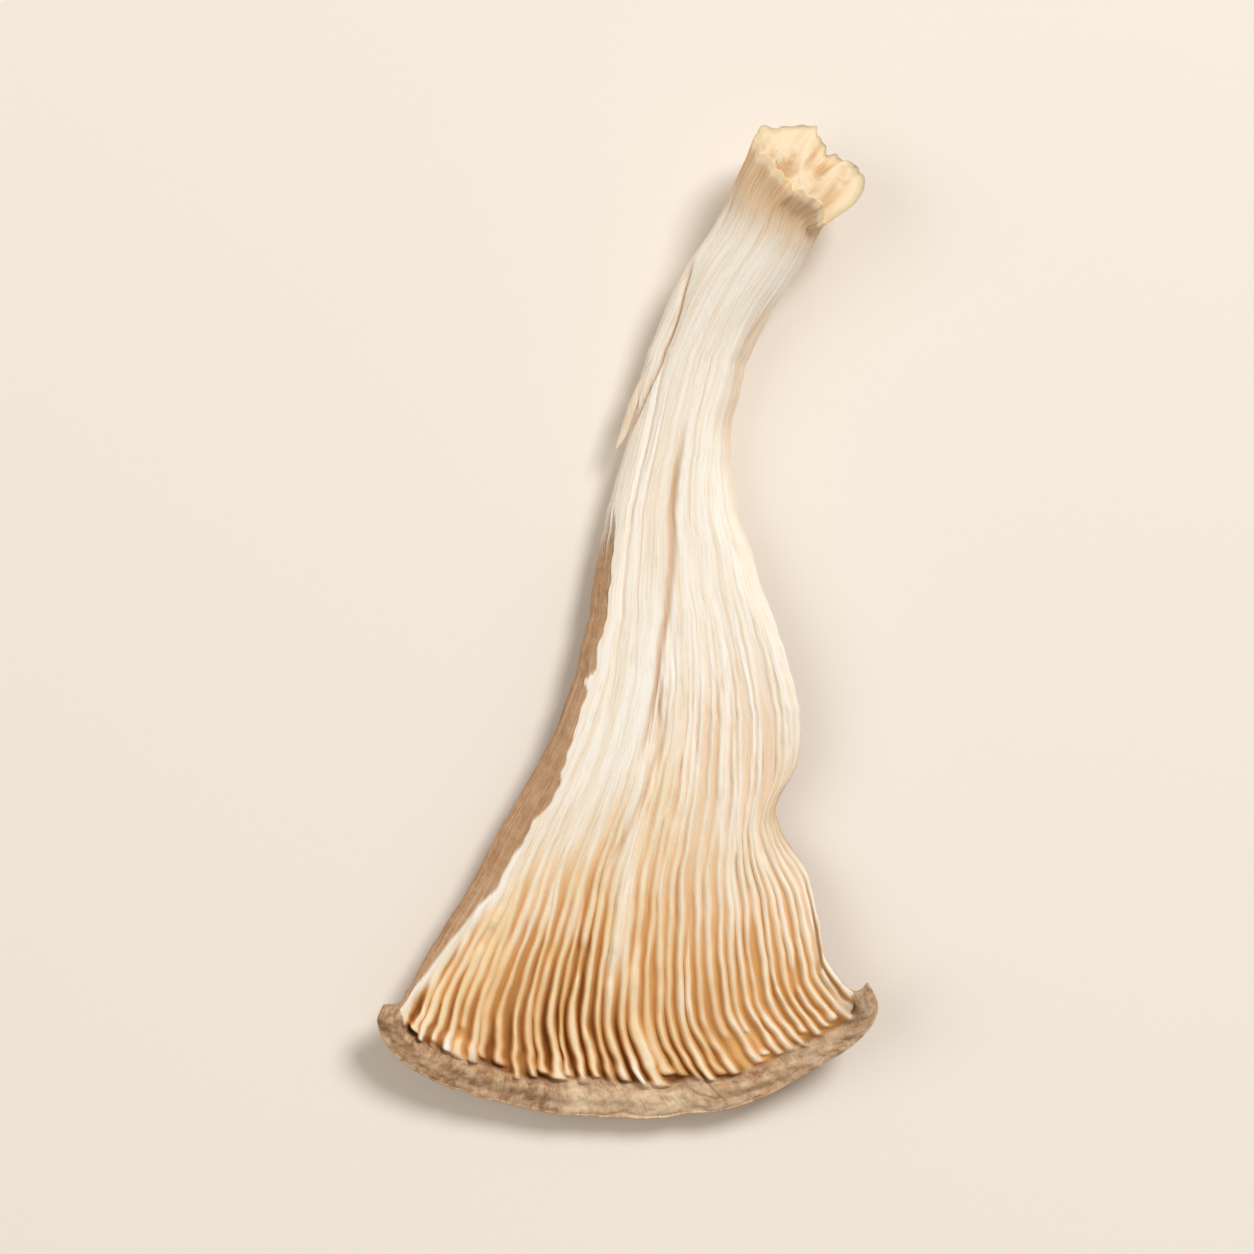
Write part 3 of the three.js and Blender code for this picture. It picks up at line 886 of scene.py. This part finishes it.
def mushroom_material():
    n = Nodes("dried_mushroom")
    flow = n.attribute("flow", "Vector")
    place = n.tree.nodes.new("ShaderNodeTexCoord").outputs["Object"]
    cavity_gold_and_shade, ditch_shadow, skin, flank = (n.attribute(name) for name in ("cavity_gold_and_shade", "ditch_shadow", "skin", "flank"))
    cut, gilled, crease_shade = (n.attribute(name) for name in ("cut", "gilled", "crease_shade"))
    tan_and_shade, pale = (n.attribute(name) for name in ("tan_and_shade", "pale"))

    long_streaks = n.noise(n.scaled(flow, (0.8, 0.07, 1.0)), 1.0, detail=5.0, roughness=0.6)
    fine_streaks = n.noise(n.scaled(flow, (4.5, 0.35, 1.0)), 1.0, detail=5.0, roughness=0.65)
    blotches = n.noise(place, 260.0, detail=4.0)
    grain = n.noise(place, 2600.0, detail=3.0)

    flesh = n.mix(n.ramp(long_streaks, 0.38, 0.66), CREAM, IVORY)
    flesh = n.mix(n.ramp(fine_streaks, 0.53, 0.7, 0.0, 0.5), flesh, TAN_TONE_AND_SHADE)
    hairlines = n.noise(n.scaled(flow, (7.0, 0.12, 1.0)), 1.0, detail=3.0)
    flesh = n.mix(n.ramp(hairlines, 0.6, 0.72, 0.0, 0.55), flesh, CREASE_SHADE_AND_LINES)
    flesh = n.mix(n.math("MULTIPLY", gilled, n.ramp(blotches, 0.3, 0.7, 0.5, 0.95)), flesh, GOLD)
    # Tan tone, with painted shade under the cut's rim, down the stem's right side and in the notch.
    flesh = n.mix(n.math("MULTIPLY", tan_and_shade, n.ramp(fine_streaks, 0.3, 0.7, 0.55, 1.0)), flesh, TAN_TONE_AND_SHADE)
    # Golden valleys between the gills, with painted shade in the deepest of them.
    valley = n.mix(n.ramp(cavity_gold_and_shade, 0.4, 0.95), VALLEY_GOLD_AND_SHADE, BROWN_GOLD_AND_SHADE)
    flesh = n.mix(n.ramp(cavity_gold_and_shade, 0.04, 0.5), flesh, valley)
    # Painted shadow at the gill ends.
    flesh = n.mix(n.math("MULTIPLY", ditch_shadow, 0.85), flesh, DITCH_SHADOW_BROWN)
    # Painted shade in creases, the furrow and the cracks.
    flesh = n.mix(n.math("MULTIPLY", crease_shade, 0.75), flesh, CREASE_SHADE_AND_LINES)
    flesh = n.mix(n.math("MULTIPLY", cut, n.math("SUBTRACT", 1.0, tan_and_shade)), flesh, CUT)

    skin_streaks = n.noise(n.scaled(flow, (1.6, 0.5, 1.0)), 1.0, detail=6.0, roughness=0.65)
    mottle = n.noise(place, 1300.0, detail=5.0, roughness=0.7)
    bark = n.mix(n.ramp(skin_streaks, 0.36, 0.64), SKIN_DARK, SKIN_MID)
    bark = n.mix(n.ramp(mottle, 0.38, 0.7, 0.0, 0.6), bark, SKIN_PALE)
    bark = n.mix(n.math("MULTIPLY", pale, n.ramp(mottle, 0.3, 0.6, 0.6, 1.0)), bark, SKIN_PALE)
    bark = n.mix(n.math("MULTIPLY", flank, n.ramp(fine_streaks, 0.3, 0.7, 0.9, 0.45)), bark, FLANK_SKIN)
    bark = n.mix(n.math("MULTIPLY", flank, n.ramp(hairlines, 0.54, 0.68, 0.0, 0.5)), bark, SKIN_PALE)
    bark = n.mix(n.ramp(fine_streaks, 0.56, 0.7, 0.0, 0.55), bark, SKIN_DARK)
    # Painted shade in creases and painted shadow at the gill ends, on the skin.
    bark = n.mix(n.math("MULTIPLY", crease_shade, 0.8), bark, SKIN_DARK)
    bark = n.mix(n.math("MULTIPLY", ditch_shadow, 0.7), bark, DITCH_SHADOW_BROWN)
    colour = n.mix(skin, flesh, bark)
    n.link(colour, n.shader.inputs["Base Color"])

    n.link(n.ramp(blotches, 0.3, 0.7, 0.72, 0.9), n.shader.inputs["Roughness"])
    relief = n.bump(fine_streaks, 0.00009, 0.6)
    relief = n.bump(n.math("MULTIPLY", mottle, skin), 0.00007, 0.6, relief)
    relief = n.bump(grain, 0.00003, 0.5, relief)
    n.link(relief, n.shader.inputs["Normal"])
    n.shader.inputs["Specular IOR Level"].default_value = 0.25
    n.shader.inputs["Subsurface Weight"].default_value = 0.12
    n.shader.inputs["Subsurface Radius"].default_value = (1.0, 0.6, 0.35)
    n.shader.inputs["Subsurface Scale"].default_value = 0.0007
    return n.material


def floor_material():
    n = Nodes("pale_floor")
    place = n.tree.nodes.new("ShaderNodeTexCoord").outputs["Object"]
    cloud = n.noise(place, 3.0, detail=2.0)
    colour = n.mix(n.ramp(cloud, 0.3, 0.7), linear(240, 234, 226), linear(243, 237, 230))
    n.link(colour, n.shader.inputs["Base Color"])
    n.shader.inputs["Roughness"].default_value = 0.9
    n.shader.inputs["Specular IOR Level"].default_value = 0.1
    return n.material


# --------------------------------------------------------------------------------------------------
# Stage, light and camera


def build_floor():
    size = 2.0
    mesh = bpy.data.meshes.new("floor")
    corners = [(-size, -size, 0), (size, -size, 0), (size, size, 0), (-size, size, 0)]
    mesh.from_pydata(corners, [], [(0, 1, 2, 3)])
    floor = bpy.data.objects.new("floor", mesh)
    bpy.context.scene.collection.objects.link(floor)
    mesh.materials.append(floor_material())


def aim(obj, target):
    obj.rotation_euler = (Vector(target) - obj.location).to_track_quat("-Z", "Y").to_euler()


def add_light(name, place, size, power, colour):
    data = bpy.data.lights.new(name, "AREA")
    data.shape = "DISK"
    data.size = size
    data.energy = power
    data.color = colour
    light = bpy.data.objects.new(name, data)
    light.location = place
    bpy.context.scene.collection.objects.link(light)
    aim(light, (0, 0, 0))


def build_light():
    add_light("key", (0.27, 0.32, 0.52), 0.22, 2.95, (1.0, 0.985, 0.965))
    add_light("fill", (-0.42, 0.05, 0.5), 0.5, 0.95, (1.0, 0.985, 0.96))
    world = bpy.data.worlds.new("studio")
    world.use_nodes = True
    world.node_tree.nodes["Background"].inputs["Color"].default_value = linear(253, 242, 224)
    world.node_tree.nodes["Background"].inputs["Strength"].default_value = 0.36
    bpy.context.scene.world = world
    bpy.context.scene.view_settings.view_transform = "Standard"


def build_camera():
    """Looks straight down on the strip, with the cut stem at the top of the picture."""
    low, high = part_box(NODE)
    centre = (low + high) / 2
    data = bpy.data.cameras.new("camera")
    data.lens = 110
    data.sensor_width = 36
    seen = 1.24 * (high.y - low.y)
    camera = bpy.data.objects.new("camera", data)
    camera.location = (centre.x, centre.y, high.z + seen * data.lens / data.sensor_width)
    bpy.context.scene.collection.objects.link(camera)
    bpy.context.scene.camera = camera


build_camera()
build_floor()
build_light()

strip = build_strip()
strip.data.materials.append(mushroom_material())
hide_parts(NODE)
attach(strip, "root")
